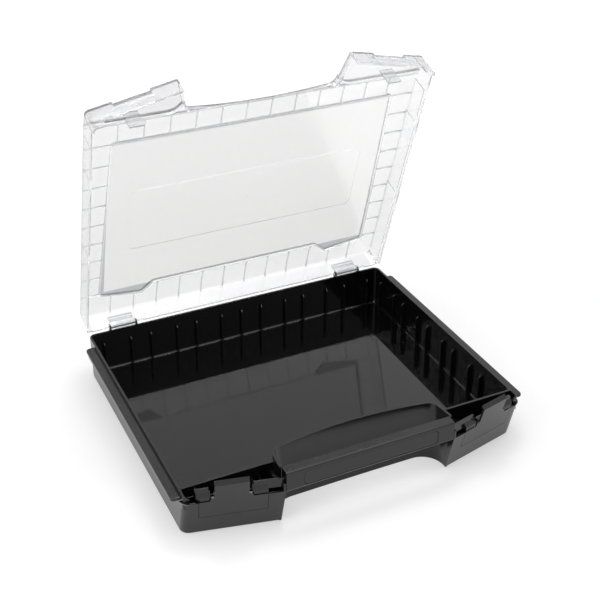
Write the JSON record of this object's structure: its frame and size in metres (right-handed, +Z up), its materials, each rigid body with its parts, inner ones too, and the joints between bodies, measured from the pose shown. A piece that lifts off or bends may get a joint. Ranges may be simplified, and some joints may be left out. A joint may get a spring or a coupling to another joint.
{
  "type": "compartment storage box",
  "caption": "Flat portable parts case: black tray with dividing ribs and side rails, clear hinged lid, fixed front handle and rocking latches.",
  "frame": {"origin": "middle of the tray's flat underside, halfway between the handle's front and the hinges' back", "axes": "+X to the right seen from the handle, +Y from the handle to the hinges, +Z up"},
  "size_m": [0.367, 0.333, 0.35],
  "materials": {
    "tray": "moulded black, polished inside",
    "lid": "clear with a frosted middle panel",
    "handle": "moulded black",
    "label": "smooth black",
    "latch": "moulded black",
    "pin": "drawn"
  },
  "bodies": {
    "base": {"base_shell": "tray", "handle_bar": "handle", "label_plate": "label", "hinge_pin_left": "pin", "hinge_pin_right": "pin", "latch_pin_left": "pin", "latch_pin_right": "pin"},
    "lid": {"lid_shell": "lid"},
    "left_latch": {"latch_left": "latch"},
    "right_latch": {"latch_right": "latch"}
  },
  "joints": [
    {"name": "lid_hinge", "type": "hinge", "parent": "base", "child": "lid", "pos_m": [0, 0.1552, 0.0503], "axis": [-1, 0, 0], "range_deg": [-70.7, 35]},
    {"name": "latch_left_hinge", "type": "hinge", "parent": "base", "child": "left_latch", "pos_m": [-0.1327, -0.14269, 0.0456], "axis": [0.9737, -0.2278, 0], "range_deg": [-14.7, 0]},
    {"name": "latch_right_hinge", "type": "hinge", "parent": "base", "child": "right_latch", "pos_m": [0.1327, -0.14269, 0.0456], "axis": [0.9737, 0.2278, 0], "range_deg": [-14.7, 0]}
  ]
}
